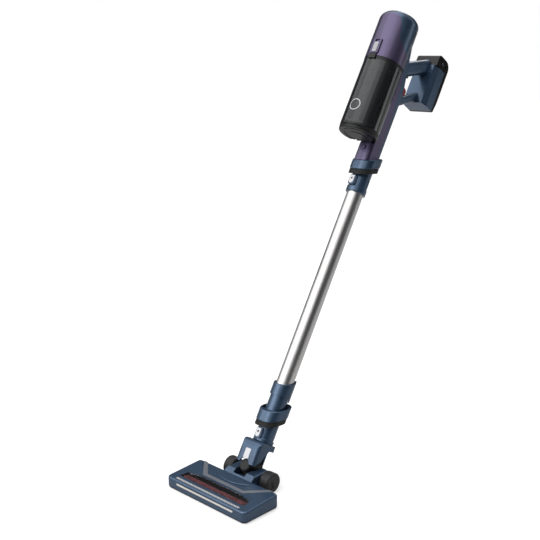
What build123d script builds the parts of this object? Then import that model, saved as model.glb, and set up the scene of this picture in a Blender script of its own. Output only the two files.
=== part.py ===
from build123d import *
import math
import os

# Cordless stick vacuum, in millimetres, +Z up, -Y to the front of the machine.
# The origin is the centre of the hand grip, which is what holds the machine up.
# The stick leans back from upright. Places on it are given as (right, back, up): up along the stick from
# the wheel axle, back square to it towards the handle. Places on the floor head are given level with the
# floor: back from the axle, and height above the floor.

os.makedirs("parts", exist_ok=True)

# Driving dimensions: pose and overall sizes
lean = 30.7
head_width = 240.0
head_depth = 100.0
head_front_height = 26.9
head_rear_height = 32.0
axle_setback = 140.0
wheel_radius = 22.0
neck_length = 118.0
wand_length = 606.0
neck_to_bin = 67.0
bin_length = 174.0
bin_radius = 46.5
bin_forward = 65.0
motor_length = 123.0
tube_radius = 19.25
tube_wall = 1.2
grip_back = 48.0
grip_above_bin = 59.0

# Driving dimensions: fits
gap = 0.3
sliding = 0.35
running = 0.05
wall = 2.4
seam = 0.15

# Places along the stick
lower_joint = neck_length
upper_joint = lower_joint + wand_length
bin_bottom = upper_joint + neck_to_bin
bin_top = bin_bottom + bin_length
motor_top = bin_top + motor_length
grip_up = bin_top + grip_above_bin

sin_lean = math.sin(math.radians(lean))
cos_lean = math.cos(math.radians(lean))
stick_dir = Vector(0, sin_lean, cos_lean)
back_dir = Vector(0, cos_lean, -sin_lean)
axle = -(back_dir * grip_back + stick_dir * grip_up)
stick_axis = Axis(axle, stick_dir)
back_axis = Axis(axle, back_dir)
floor_z = axle.Z - wheel_radius


def on_stick(right, back, up):
    """A point given by its places on the stick."""
    return axle + Vector(right, 0, 0) + back_dir * back + stick_dir * up


def across(up, back=0.0):
    """The plane square to the stick: local x right, local y back."""
    return Plane(origin=on_stick(0, back, up), x_dir=(1, 0, 0), z_dir=stick_dir)


def slanted(up, slant):
    """The plane across the stick that is higher at the back by the slant: local x right, local y back."""
    tilt = math.radians(slant)
    normal = stick_dir * math.cos(tilt) - back_dir * math.sin(tilt)
    return Plane(origin=on_stick(0, 0, up), x_dir=(1, 0, 0), z_dir=normal)


def along(right=0.0):
    """The plane parallel to the machine's middle plane: local x back, local y up the stick."""
    return Plane(origin=on_stick(right, 0, 0), x_dir=back_dir, z_dir=(1, 0, 0))


def frontal(back, up=0.0):
    """The plane that faces forwards from the stick: local x right, local y up the stick."""
    return Plane(origin=on_stick(0, back, up), x_dir=(1, 0, 0), z_dir=-back_dir)


def heading(back, up, rise):
    """The plane that faces backwards and up by the rise: local x right, local y down."""
    turn = math.radians(rise)
    normal = back_dir * math.cos(turn) + stick_dir * math.sin(turn)
    return Plane(origin=on_stick(0, back, up), x_dir=(1, 0, 0), z_dir=normal)


def level(height, back=0.0, right=0.0):
    """The plane level with the floor: local x right, local y back from the axle."""
    return Plane(origin=(right, axle.Y + back, floor_z + height), x_dir=(1, 0, 0), z_dir=(0, 0, 1))


def head_side(right=0.0):
    """The upright plane along the floor head: local x back from the axle, local y height above the floor."""
    return Plane(origin=(right, axle.Y, floor_z), x_dir=(0, 1, 0), z_dir=(1, 0, 0))


def save(piece, name):
    """Label a finished piece and write it to its own file."""
    piece.part.label = name
    export_step(piece.part, f"parts/{name}.step")


# ---------------------------------------------------------------------------------------------------------
# Floor head: the wedge-shaped shell, with a hub at its back that the neck and the wheels turn in
# ---------------------------------------------------------------------------------------------------------
head_front = -axle_setback
head_back = head_front + head_depth
skirt_height = 6.0
sole_height = 2.0
front_corner = 12.0
rear_corner = 8.0
top_round = 4.0
head_rise = math.degrees(math.atan2(head_rear_height - head_front_height, head_depth))
hub_half = 41.0
hub_top = 40.0
hub_back = 18.0
boss_radius = 14.5
boss_up = 14.0
boss_front = -33.0
boss_back = 14.0
barrel_radius = 12.0
barrel_half = 22.0
trunnion_radius = 5.0
trunnion_depth = 7.0
axle_radius = 3.0
wheel_inner = 43.5
wheel_outer = 69.0


def on_top(depth=0.0):
    """The head's sloping top, sunk by a depth: local x right, local y back from the front edge."""
    turn = math.radians(head_rise)
    normal = Vector(0, -math.sin(turn), math.cos(turn))
    front_edge = Vector(0, axle.Y + head_front, floor_z + head_front_height)
    return Plane(origin=front_edge - normal * depth, x_dir=(1, 0, 0), z_dir=normal)


window_front = 20.5
window_back = 49.0
window_half = head_width / 2 - 22.0
window_taper = 4.0
window_shoulder = 41.0
window_shoulder_half = window_half - 38.0
window_thickness = 2.0
window_sink = 1.0
band_sink = 0.6
band_thickness = 1.0
band_front = 54.0
band_back = 62.5
band_shoulder = 61.0
band_end = head_width / 2 - 14.0
band_arm_width = 12.0
bar_centre = 9.0
bar_width = 5.4
bar_length = 2 * window_half - 3.0
bar_sink = 0.9
bar_thickness = 1.3
lens_height = 18.5
lens_width = 4.0
lens_length = 172.0
lens_sink = 1.2
lens_thickness = 1.5


# outline of the clear window
with BuildSketch() as window_outline:
    with BuildLine():
        Polyline(
            (-window_half, window_front),
            (window_half, window_front),
            (window_half - window_taper, window_shoulder),
            (window_shoulder_half, window_back),
            (-window_shoulder_half, window_back),
            (-window_half + window_taper, window_shoulder),
            close=True,
        )
    make_face()

# outline of the trim band: a straight stretch with an arm to each rear corner
band_arm_back = head_depth - 1.0
with BuildSketch() as band_outline:
    with BuildLine():
        Polyline(
            (-band_shoulder, band_front),
            (band_shoulder, band_front),
            (band_end, band_arm_back),
            (band_end - band_arm_width, band_arm_back),
            (band_shoulder - 6.0, band_back),
            (-band_shoulder + 6.0, band_back),
            (-band_end + band_arm_width, band_arm_back),
            (-band_end, band_arm_back),
            close=True,
        )
    make_face()

# room under the wedge
with BuildPart() as head_hollow:
    with BuildSketch(level(0, (head_front + head_back) / 2)):
        RectangleRounded(head_width - 2 * wall, head_depth - 2 * wall, front_corner - wall)
    extrude(amount=head_rear_height)
    with BuildSketch(head_side()):
        with BuildLine():
            Polyline(
                (head_front, 0),
                (head_front, head_front_height - wall),
                (head_back, head_rear_height - wall),
                (head_back, 0),
                close=True,
            )
        make_face()
    extrude(amount=head_width / 2, both=True, mode=Mode.INTERSECT)

with BuildPart() as head_upper_shell:
    with BuildSketch(head_side()):
        with BuildLine():
            Polyline(
                (head_front, skirt_height),
                (head_front, head_front_height),
                (head_back, head_rear_height),
                (head_back, skirt_height),
                close=True,
            )
        make_face()
    extrude(amount=head_width / 2, both=True)
    upright = head_upper_shell.edges().filter_by(Axis.Z)
    fillet(upright.group_by(Axis.Y)[0], radius=front_corner)
    upright = head_upper_shell.edges().filter_by(Axis.Z).group_by(Axis.Y)
    fillet(upright[-1], radius=rear_corner)
    fillet(head_upper_shell.faces().sort_by(Axis.Z)[-1].edges(), radius=top_round)
    with BuildSketch(head_side()):
        with BuildLine():
            Polyline(
                (head_back - 6.0, skirt_height),
                (head_back - 6.0, head_rear_height - 4.0),
                (head_back + 10.0, hub_top - 0.5),
                (hub_back - 8.0, hub_top),
                (hub_back, hub_top - 14.0),
                (hub_back, skirt_height + 2.0),
                (hub_back - 6.0, skirt_height),
                close=True,
            )
        make_face()
    extrude(amount=hub_half, both=True)
    hub_tops = head_upper_shell.faces().filter_by(lambda f: f.center().Z > floor_z + hub_top - 3.0)
    fillet(hub_tops.sort_by(Axis.Z)[-1].edges().filter_by(Axis.X, reverse=True), radius=6.0)
    add(head_hollow.part, mode=Mode.SUBTRACT)
    # pocket for the elbow's drum and barrel, open to the back
    with BuildSketch(head_side()):
        with Locations((0, wheel_radius)):
            Circle(barrel_radius + 1.0)
        with BuildLine():
            Polyline(
                (boss_front - 5.0, hub_top + 9.0),
                (boss_front - 5.0, head_rear_height - 4.5),
                (-barrel_radius, wheel_radius),
                (-barrel_radius, 0),
                (hub_back + 5.0, 0),
                (hub_back + 5.0, hub_top + 9.0),
                close=True,
            )
        make_face()
    extrude(amount=boss_radius + 2.5, both=True, mode=Mode.SUBTRACT)
    with BuildSketch(head_side()):
        with BuildLine():
            Polyline(
                (-barrel_radius - 1.0, hub_top + 9.0),
                (-barrel_radius - 1.0, wheel_radius - barrel_radius - 1.0),
                (hub_back + 5.0, 0),
                (hub_back + 5.0, hub_top + 9.0),
                close=True,
            )
        make_face()
    extrude(amount=barrel_half + gap, both=True, mode=Mode.SUBTRACT)
    # air way from the brush chamber to the pocket
    with BuildSketch(head_side()):
        with Locations(((head_back - wall + boss_front) / 2 + 9.0, 15.0)):
            Rectangle(abs(head_back) - 6.0, 11.0)
    extrude(amount=11.0, both=True, mode=Mode.SUBTRACT)
    # trunnion and wheel axle holes
    with BuildSketch(head_side()):
        with Locations((0, wheel_radius)):
            Circle(trunnion_radius)
    extrude(amount=hub_half - 6.0, both=True, mode=Mode.SUBTRACT)
    with BuildSketch(head_side()):
        with Locations((0, wheel_radius)):
            Circle(axle_radius)
    extrude(amount=hub_half + 1.0, both=True, mode=Mode.SUBTRACT)
    # window, trim band, front bar and light slot
    with BuildSketch(on_top()):
        add(window_outline.sketch)
    extrude(amount=-2 * wall - window_sink, mode=Mode.SUBTRACT)
    with BuildSketch(on_top()):
        add(band_outline.sketch)
    extrude(amount=-band_sink, mode=Mode.SUBTRACT)
    with BuildSketch(on_top()):
        with Locations((0, bar_centre)):
            SlotOverall(bar_length, bar_width)
    extrude(amount=-bar_sink, mode=Mode.SUBTRACT)
    lens_plane = Plane(
        origin=(0, axle.Y + head_front, floor_z + lens_height), x_dir=(1, 0, 0), z_dir=(0, -1, 0)
    )
    with BuildSketch(lens_plane):
        SlotOverall(lens_length, lens_width)
    extrude(amount=-lens_sink, mode=Mode.SUBTRACT)
save(head_upper_shell, "head_upper_shell")

with BuildPart() as brush_window:
    with BuildSketch(on_top(window_sink)):
        add(window_outline.sketch)
    extrude(amount=-window_thickness)
    fillet(brush_window.faces().sort_by(Axis.Z)[-1].edges(), radius=0.6)
save(brush_window, "brush_window")

with BuildPart() as trim_band:
    with BuildSketch(on_top(band_sink)):
        add(band_outline.sketch)
    extrude(amount=band_thickness)
save(trim_band, "trim_band")

with BuildPart() as front_bar:
    with BuildSketch(on_top(bar_sink)):
        with Locations((0, bar_centre)):
            SlotOverall(bar_length, bar_width)
    extrude(amount=bar_thickness)
save(front_bar, "front_bar")

with BuildPart() as light_lens:
    with BuildSketch(lens_plane.offset(-lens_sink)):
        SlotOverall(lens_length, lens_width)
    extrude(amount=lens_thickness)
save(light_lens, "light_lens")

with BuildPart() as light_board:
    with BuildSketch(lens_plane.offset(-wall)):
        Rectangle(lens_length - 4.0, 6.0)
    extrude(amount=-1.2)
    with BuildSketch(lens_plane.offset(-wall - 1.2)):
        with GridLocations((lens_length - 20.0) / 7, 1, 8, 1):
            Rectangle(4.0, 3.0)
    extrude(amount=-1.0)
save(light_board, "light_board")

# ---------------------------------------------------------------------------------------------------------
# Floor head: sole plate, brush roll and its belt drive
# ---------------------------------------------------------------------------------------------------------
roll_back = head_front + 34.0
roll_height = 13.5
bristle_radius = 11.0
roll_radius = 8.0
roll_half = window_half - 2.0
roll_pulley_radius = 7.0
motor_pulley_radius = 4.5
pulley_width = 7.0
pulley_gap = 1.5
roll_shaft_radius = 2.0
bearing_radius = 6.0
bearing_width = 4.0
belt_thickness = 1.4
belt_width = 6.0
drive_motor_radius = 9.0
drive_motor_length = 45.0
drive_motor_back = roll_back + 40.0
drive_motor_height = 17.5
drive_shaft_radius = 1.5
sole_inset = 1.0
mouth_half = roll_half + 3.0
mouth_front = roll_back - 13.5
mouth_back = roll_back + 13.5
roller_radius = 3.6
roller_width = 7.0
roller_right = head_width / 2 - 27.0
roller_back = head_front + 8.5
roller_pin_radius = 1.0
screw_radius = 1.5
bearing_right = roll_half + pulley_gap + pulley_width + pulley_gap
pulley_mid = -(roll_half + pulley_gap + pulley_width / 2)

with BuildPart() as sole_plate:
    with BuildSketch(level(sole_height, head_front + head_depth / 2)):
        Rectangle(head_width - 2 * sole_inset, head_depth - 2 * sole_inset)
    extrude(amount=skirt_height - sole_height)
    upright = sole_plate.edges().filter_by(Axis.Z).group_by(Axis.Y)
    fillet(upright[0], radius=front_corner - sole_inset)
    upright = sole_plate.edges().filter_by(Axis.Z).group_by(Axis.Y)
    fillet(upright[-1], radius=rear_corner - sole_inset)
    chamfer(sole_plate.faces().sort_by(Axis.Z)[0].edges(), length=1.4)
    with BuildSketch(level(0, (mouth_front + mouth_back) / 2)):
        RectangleRounded(2 * mouth_half, mouth_back - mouth_front, 3.0)
    extrude(amount=skirt_height + 1.0, mode=Mode.SUBTRACT)
    with BuildSketch(level(sole_height + 2.0, (mouth_front + mouth_back) / 2, pulley_mid)):
        Rectangle(pulley_width + 2.0, mouth_back - mouth_front)
    extrude(amount=skirt_height, mode=Mode.SUBTRACT)
    for side in (-1, 1):
        with BuildSketch(level(0, roller_back, side * roller_right)):
            Rectangle(roller_width + 1.0, 2 * roller_radius + 1.6)
        extrude(amount=skirt_height + 1.0, mode=Mode.SUBTRACT)
        with BuildSketch(head_side(side * roller_right)):
            with Locations((roller_back, roller_radius)):
                Circle(roller_pin_radius + running)
        extrude(amount=roller_width, both=True, mode=Mode.SUBTRACT)
    for side in (-1, 1):
        for place in (mouth_front - 6.5, head_back - 14.0):
            with BuildSketch(level(0, place, side * (roller_right - 25.0))):
                Circle(screw_radius)
            extrude(amount=skirt_height + 1.0, mode=Mode.SUBTRACT)
save(sole_plate, "sole_plate")

with BuildPart() as sole_screws:
    for side in (-1, 1):
        for place in (mouth_front - 6.5, head_back - 14.0):
            with BuildSketch(level(sole_height, place, side * (roller_right - 25.0))):
                Circle(screw_radius)
            extrude(amount=9.0)
            with BuildSketch(level(sole_height - 0.6, place, side * (roller_right - 25.0))):
                Circle(2.8)
            extrude(amount=0.6)
save(sole_screws, "sole_screws")

for side, name in ((-1, "front_roller_left"), (1, "front_roller_right")):
    with BuildPart() as front_roller:
        with BuildSketch(head_side(side * roller_right)):
            with Locations((roller_back, roller_radius)):
                Circle(roller_radius)
        extrude(amount=roller_width / 2, both=True)
        fillet(front_roller.edges().filter_by(GeomType.CIRCLE), radius=0.8)
        with BuildSketch(head_side(side * roller_right)):
            with Locations((roller_back, roller_radius)):
                Circle(roller_pin_radius)
        extrude(amount=roller_width - 1.0, both=True)
    save(front_roller, name)

with BuildPart() as brush_roll:
    with BuildSketch(head_side()):
        with Locations((roll_back, roll_height)):
            Circle(roll_radius)
    extrude(amount=roll_half, both=True)
    chamfer(brush_roll.edges().filter_by(GeomType.CIRCLE), length=1.0)
    with BuildSketch(head_side()):
        with Locations((roll_back, roll_height)):
            Circle(roll_shaft_radius)
    extrude(amount=bearing_right + bearing_width, both=True)
save(brush_roll, "brush_roll")

strip_turns = 0.75
strip_steps = 12
strip_width = 2.4
with BuildPart() as brush_strips:
    for start in (0, 180):
        for step in range(strip_steps):
            span = 2 * (roll_half - 2.0) / strip_steps
            right = -roll_half + 2.0 + step * span
            turn = 360 * strip_turns / strip_steps
            for end in (0, 1):
                with BuildSketch(head_side(right + end * span)):
                    with Locations((roll_back, roll_height)):
                        with PolarLocations((roll_radius + bristle_radius) / 2, 1, start + (step + end) * turn):
                            Rectangle(bristle_radius - roll_radius, strip_width)
            loft(ruled=True)
    with BuildSketch(head_side()):
        with Locations((roll_back, roll_height)):
            Circle(roll_radius)
    extrude(amount=roll_half, both=True, mode=Mode.SUBTRACT)
save(brush_strips, "brush_strips")

with BuildPart() as roll_bearings:
    for side in (-1, 1):
        with BuildSketch(head_side(side * bearing_right)):
            with Locations((roll_back, roll_height)):
                Circle(bearing_radius)
                Circle(roll_shaft_radius + running, mode=Mode.SUBTRACT)
        extrude(amount=side * bearing_width)
save(roll_bearings, "roll_bearings")

with BuildPart() as roll_pulley:
    with BuildSketch(head_side(pulley_mid)):
        with Locations((roll_back, roll_height)):
            Circle(roll_pulley_radius)
            Circle(roll_shaft_radius, mode=Mode.SUBTRACT)
    extrude(amount=pulley_width / 2, both=True)
save(roll_pulley, "roll_pulley")

with BuildPart() as brush_motor:
    with BuildSketch(head_side(pulley_mid + pulley_width / 2 + 2.0)):
        with Locations((drive_motor_back, drive_motor_height)):
            Circle(drive_motor_radius)
            Circle(drive_shaft_radius + running, mode=Mode.SUBTRACT)
    extrude(amount=drive_motor_length)
save(brush_motor, "brush_motor")

with BuildPart() as motor_pulley:
    with BuildSketch(head_side(pulley_mid)):
        with Locations((drive_motor_back, drive_motor_height)):
            Circle(motor_pulley_radius)
    extrude(amount=pulley_width / 2, both=True)
    with BuildSketch(head_side(pulley_mid)):
        with Locations((drive_motor_back, drive_motor_height)):
            Circle(drive_shaft_radius)
    extrude(amount=drive_motor_length * 0.6)
save(motor_pulley, "motor_pulley")


with BuildPart() as drive_belt:
    for extra, mode in ((gap + belt_thickness, Mode.ADD), (gap, Mode.SUBTRACT)):
        with BuildSketch(head_side(pulley_mid)):
            with Locations((roll_back, roll_height)):
                Circle(roll_pulley_radius + extra)
            with Locations((drive_motor_back, drive_motor_height)):
                Circle(motor_pulley_radius + extra)
            make_hull()
        extrude(amount=belt_width / 2, both=True, mode=mode)
save(drive_belt, "drive_belt")

# ---------------------------------------------------------------------------------------------------------
# Floor head: wheels
# ---------------------------------------------------------------------------------------------------------
rim_radius = 17.5
spoke_depth = 1.6
tread_round = 4.0

# one stepped pin on each side: the elbow turns on its thick end, the wheel on its thin end
with BuildPart() as axle_pins:
    for side in (-1, 1):
        with BuildSketch(head_side(side * (barrel_half - trunnion_depth + gap))):
            with Locations((0, wheel_radius)):
                Circle(trunnion_radius)
        extrude(amount=side * (hub_half - 6.0 - barrel_half + trunnion_depth - gap))
        with BuildSketch(head_side(side * (hub_half - 6.0))):
            with Locations((0, wheel_radius)):
                Circle(axle_radius)
        extrude(amount=side * (wheel_outer - 4.0 - hub_half + 6.0))
save(axle_pins, "axle_pins")

for side, name in ((-1, "left"), (1, "right")):
    with BuildPart() as wheel:
        with BuildSketch(head_side(side * wheel_inner)):
            with Locations((0, wheel_radius)):
                Circle(wheel_radius)
        extrude(amount=side * (wheel_outer - wheel_inner - 1.5))
        fillet(wheel.edges().filter_by(GeomType.CIRCLE), radius=tread_round)
        with BuildSketch(head_side(side * wheel_inner)):
            with Locations((0, wheel_radius)):
                Circle(rim_radius)
        extrude(amount=side * (wheel_outer - wheel_inner))
        outer_face = wheel.faces().sort_by(Axis.X)[-1 if side > 0 else 0]
        fillet(outer_face.edges(), radius=0.8)
        # three sunk fields that leave a three-armed relief
        with BuildSketch(head_side(side * wheel_outer)):
            with Locations((0, wheel_radius)):
                with BuildLine():
                    Line((3.2, 2.4), (12.6, 2.4))
                    RadiusArc((12.6, 2.4), (4.1, 12.1), 13.0, short_sagitta=True)
                    Line((4.1, 12.1), (3.2, 2.4))
                make_face()
        extrude(amount=-side * spoke_depth, mode=Mode.SUBTRACT)
        with BuildSketch(head_side(side * wheel_outer)):
            with Locations((0, wheel_radius)):
                with PolarLocations(8.5, 2, 165, 120):
                    Circle(4.6)
        extrude(amount=-side * spoke_depth, mode=Mode.SUBTRACT)
        with BuildSketch(head_side(side * (wheel_inner - 1.0))):
            with Locations((0, wheel_radius)):
                Circle(axle_radius + running)
        extrude(amount=side * (wheel_outer - 3.5 - wheel_inner + 1.0), mode=Mode.SUBTRACT)
    save(wheel, f"wheel_{name}")

# ---------------------------------------------------------------------------------------------------------
# Neck: the elbow that pitches on the wheel axle, and the yoke that steers on the elbow's drum
# ---------------------------------------------------------------------------------------------------------
elbow_bore = 8.0
steer_pin_radius = 3.0
yoke_half = 28.0
yoke_wall = 3.0
yoke_front = -37.0
yoke_back = 16.0
yoke_low = 19.0
yoke_top = 72.0
yoke_corner = 10.0
rib_half = 9.0
plate_width = 15.0
plate_height = 22.0
plate_up = 39.5
plate_proud = 0.8
neck_radius = 21.5
neck_ring_radius = 23.5
neck_ring_height = 8.0
spigot_radius = 17.0
plug_radius = 16.5
plug_bore = 13.5
plug_length = 42.0
shoulder_depth = 20.0
collar_slant = 27.0
ring_height = 12.0
collar_height = 24.0
pad_half = 8.5
button_half = 6.0
button_height = 19.0
button_proud = 1.5
button_depth = 4.0
button_travel = 1.5
hose_radius = 12.5
hose_bore = 9.0
rib_depth = 1.8
rib_pitch = 3.4

with BuildPart() as elbow:
    with BuildSketch(along()):
        Circle(barrel_radius)
    extrude(amount=barrel_half, both=True)
    with BuildSketch(frontal(boss_front, boss_up)):
        Circle(boss_radius)
    extrude(amount=boss_front - boss_back)
    fillet(elbow.edges().filter_by(GeomType.CIRCLE).sort_by(Axis.Y)[0], radius=5.0)
    with BuildSketch(across(2.0)):
        Circle(elbow_bore)
    extrude(amount=boss_up + boss_radius, mode=Mode.SUBTRACT)
    for side in (-1, 1):
        with BuildSketch(along(side * (barrel_half - trunnion_depth))):
            Circle(trunnion_radius + running)
        extrude(amount=side * (trunnion_depth + 1.0), mode=Mode.SUBTRACT)
    with BuildSketch(frontal(boss_back + 1.0, boss_up)):
        Circle(steer_pin_radius + running)
    extrude(amount=1.0 + boss_back - elbow_bore, mode=Mode.SUBTRACT)
save(elbow, "elbow")

with BuildPart() as steering_pin:
    with BuildSketch(frontal(yoke_back + 2.0, boss_up)):
        Circle(steer_pin_radius)
    extrude(amount=yoke_back + 2.0 - elbow_bore - 1.0)
save(steering_pin, "steering_pin")

with BuildPart() as yoke:
    with BuildSketch(along()):
        with BuildLine():
            Polyline(
                (yoke_front, yoke_low),
                (yoke_front, yoke_top - 20.0),
                (yoke_front + 1.5, yoke_top - 12.0),
                (yoke_front + 5.0, yoke_top - 5.5),
                (yoke_front + 10.0, yoke_top - 1.5),
                (yoke_front + 16.0, yoke_top),
                (yoke_back - 2.0, yoke_top),
                (yoke_back + 2.0, yoke_top - 4.0),
                (yoke_back + 2.0, yoke_top - 13.0),
                (-2.0, yoke_top - 14.0),
                (-9.0, yoke_top - 24.0),
                (-17.0, yoke_low + 12.0),
                (yoke_front + 7.0, yoke_low),
                close=True,
            )
        make_face()
    extrude(amount=yoke_half, both=True)
    # plan of the yoke, with wide round corners at the front and small ones at the back
    with BuildSketch(across(0, yoke_front + yoke_half)):
        RectangleRounded(2 * yoke_half, 2 * yoke_half, yoke_corner)
    extrude(amount=yoke_top + 1.0, mode=Mode.INTERSECT)
    with BuildSketch(along()):
        with BuildLine():
            Polyline(
                (yoke_front + yoke_wall, yoke_low - 1.0),
                (yoke_front + yoke_wall, yoke_top - 20.0),
                (yoke_front + 12.0, yoke_top - 6.0),
                (yoke_back - 2.0, yoke_top - 4.0),
                (yoke_back - 2.0, yoke_low - 1.0),
                close=True,
            )
        make_face()
    extrude(amount=yoke_half - yoke_wall, both=True, mode=Mode.SUBTRACT)
    with BuildSketch(frontal(yoke_front - 1.0, boss_up)):
        Circle(boss_radius + 2 * gap)
    extrude(amount=-yoke_wall - 6.0, mode=Mode.SUBTRACT)
    with BuildSketch(along()):
        with BuildLine():
            Polyline(
                (boss_back + 0.6, yoke_low - 11.0),
                (yoke_back + 2.0, yoke_low - 11.0),
                (yoke_back + 2.0, yoke_top - 12.0),
                (boss_back + 0.6, yoke_top - 12.0),
                close=True,
            )
        make_face()
    extrude(amount=rib_half, both=True)
    with BuildSketch(frontal(yoke_back + 3.0, boss_up)):
        Circle(steer_pin_radius)
    extrude(amount=6.0, mode=Mode.SUBTRACT)
    with BuildSketch(across(yoke_top - 8.0)):
        Circle(spigot_radius)
    extrude(amount=12.0, mode=Mode.SUBTRACT)
    with BuildSketch(frontal(yoke_front, plate_up)):
        RectangleRounded(plate_width, plate_height, 2.5)
    extrude(amount=-1.0, mode=Mode.SUBTRACT)
save(yoke, "yoke")

with BuildPart() as yoke_plate:
    with BuildSketch(frontal(yoke_front + 1.0, plate_up)):
        RectangleRounded(plate_width, plate_height, 2.5)
    extrude(amount=1.0 + plate_proud)
    fillet(yoke_plate.faces().sort_by(back_axis)[0].edges(), radius=0.4)
save(yoke_plate, "yoke_plate")

with BuildPart() as ribbed_hose:
    with BuildSketch(across(boss_up + boss_radius + 1.0)):
        Circle(hose_radius - rib_depth)
    extrude(amount=yoke_top - 8.5 - boss_up - boss_radius - 1.0)
    for turn in range(9):
        with BuildSketch(across(boss_up + boss_radius + 2.0 + turn * rib_pitch)):
            Circle(hose_radius)
        extrude(amount=rib_pitch / 2)
    with BuildSketch(across(boss_up + boss_radius)):
        Circle(hose_bore)
    extrude(amount=yoke_top, mode=Mode.SUBTRACT)
save(ribbed_hose, "ribbed_hose")

# front face of each release button, and the lowest place of the slanted ring above it
neck_pad_front = -27.0
neck_button_up = lower_joint + neck_pad_front * math.tan(math.radians(collar_slant)) - 15.0

with BuildPart() as neck_tube:
    with BuildSketch(across(yoke_top - 8.0)):
        Circle(spigot_radius)
    extrude(amount=8.0)
    with BuildSketch(across(yoke_top)):
        Circle(neck_ring_radius)
    extrude(amount=neck_ring_height)
    fillet(neck_tube.edges().filter_by(GeomType.CIRCLE).sort_by(SortBy.RADIUS)[-2:], radius=1.5)
    with BuildSketch(across(yoke_top + neck_ring_height)):
        Circle(neck_radius)
    extrude(amount=lower_joint + shoulder_depth - yoke_top - neck_ring_height)
    with BuildSketch(frontal(neck_pad_front, neck_button_up)):
        RectangleRounded(2 * pad_half, button_height + 5.0, 4.0)
    extrude(amount=neck_pad_front + neck_radius - 9.0)
    fillet(neck_tube.faces().sort_by(back_axis)[0].edges(), radius=1.2)
    with BuildSketch(across(lower_joint + shoulder_depth)):
        Circle(plug_radius)
    extrude(amount=plug_length - shoulder_depth)
    chamfer(neck_tube.faces().sort_by(stick_axis)[-1].edges(), length=0.8)
    with BuildSketch(across(yoke_top - 9.0)):
        Circle(plug_bore)
    extrude(amount=wand_length, mode=Mode.SUBTRACT)
    with BuildSketch(frontal(neck_pad_front, neck_button_up)):
        with Locations((0, button_half / 2)):
            Rectangle(2 * button_half + 2 * seam, button_height - button_half + 2 * seam)
        with Locations((0, -button_height / 2 + button_half)):
            Circle(button_half + seam)
    extrude(amount=-button_depth - button_travel + button_proud, mode=Mode.SUBTRACT)
save(neck_tube, "neck_tube")


def release_button(front, up):
    """A shield-shaped button, flat at its top and round at its bottom, that stands out of its pad."""
    with BuildPart() as button:
        with BuildSketch(frontal(front - button_proud, up)):
            with Locations((0, button_half / 2)):
                Rectangle(2 * button_half, button_height - button_half)
            with Locations((0, -button_height / 2 + button_half)):
                Circle(button_half)
        extrude(amount=-button_depth)
        fillet(button.faces().sort_by(back_axis)[0].edges(), radius=0.5)
    return button


lower_release_button = release_button(neck_pad_front, neck_button_up)
save(lower_release_button, "lower_release_button")

# ---------------------------------------------------------------------------------------------------------
# Wand: steel tube between a socket at its lower end and a plug at its upper end
# ---------------------------------------------------------------------------------------------------------
collar_width = 60.0
collar_depth = 62.0
collar_corner = 24.0
collar_wall = 3.0
ring_inset = 1.2
ring_bore = 23.8
sleeve_radius = 21.2
sleeve_low = lower_joint + shoulder_depth + 3.0
sleeve_top = lower_joint + 64.0
tube_low = lower_joint + plug_length + 4.0
end_ring_radius = 24.2
end_ring_low = sleeve_top - 4.0
end_ring_top = lower_joint + 94.0
end_ring_slant = 22.0
ridge_half = 9.0
ridge_back = 29.0
upper_sleeve_low = upper_joint - 53.0
upper_sleeve_radius = 22.0
upper_rim_radius = 23.6
upper_rim_height = 14.0
tube_top = upper_sleeve_low + 36.0
wand_pad_front = -30.0
wand_button_up = upper_joint + wand_pad_front * math.tan(math.radians(collar_slant)) - 13.5

with BuildPart() as wand_tube:
    with BuildSketch(across(tube_low)):
        Circle(tube_radius)
        Circle(tube_radius - tube_wall, mode=Mode.SUBTRACT)
    extrude(amount=tube_top - tube_low)
save(wand_tube, "wand_tube")

with BuildPart() as wand_lower_sleeve:
    with BuildSketch(across(sleeve_low)):
        Circle(sleeve_radius)
    extrude(amount=sleeve_top - sleeve_low)
    with BuildSketch(across(sleeve_low - 1.0)):
        Circle(plug_radius + sliding)
    extrude(amount=tube_low - sleeve_low + 1.0, mode=Mode.SUBTRACT)
    with BuildSketch(across(tube_low)):
        Circle(tube_radius)
    extrude(amount=sleeve_top, mode=Mode.SUBTRACT)
save(wand_lower_sleeve, "wand_lower_sleeve")

with BuildPart() as wand_lower_collar:
    with BuildSketch(across(lower_joint - collar_depth)):
        RectangleRounded(collar_width, collar_depth, collar_corner)
    extrude(amount=collar_depth + collar_height + ring_height + collar_depth)
    split(bisect_by=slanted(lower_joint + ring_height + collar_height, collar_slant), keep=Keep.BOTTOM)
    split(bisect_by=slanted(lower_joint + ring_height, collar_slant), keep=Keep.TOP)
    chamfer(wand_lower_collar.faces().sort_by(stick_axis)[-1].edges(), length=0.8)
    with BuildSketch(across(lower_joint - collar_depth)):
        Circle(ring_bore)
    extrude(amount=collar_depth + shoulder_depth + 1.5, mode=Mode.SUBTRACT)
    with BuildSketch(across(sleeve_low + 2.5)):
        RectangleRounded(collar_width - 2 * collar_wall, collar_depth - 2 * collar_wall, collar_corner - 3.0)
    extrude(amount=collar_depth, mode=Mode.SUBTRACT)
    with BuildSketch(across(lower_joint)):
        Circle(sleeve_radius)
    extrude(amount=collar_depth, mode=Mode.SUBTRACT)
save(wand_lower_collar, "wand_lower_collar")


def textured_ring(joint):
    """The slanted ring under a collar, open in the middle for the shoulder that plugs in."""
    with BuildPart() as ring:
        with BuildSketch(across(joint - collar_depth)):
            RectangleRounded(
                collar_width - 2 * ring_inset, collar_depth - 2 * ring_inset, collar_corner - ring_inset
            )
            Circle(ring_bore, mode=Mode.SUBTRACT)
        extrude(amount=2 * collar_depth)
        split(bisect_by=slanted(joint + ring_height, collar_slant), keep=Keep.BOTTOM)
        split(bisect_by=slanted(joint, collar_slant), keep=Keep.TOP)
    return ring


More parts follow.
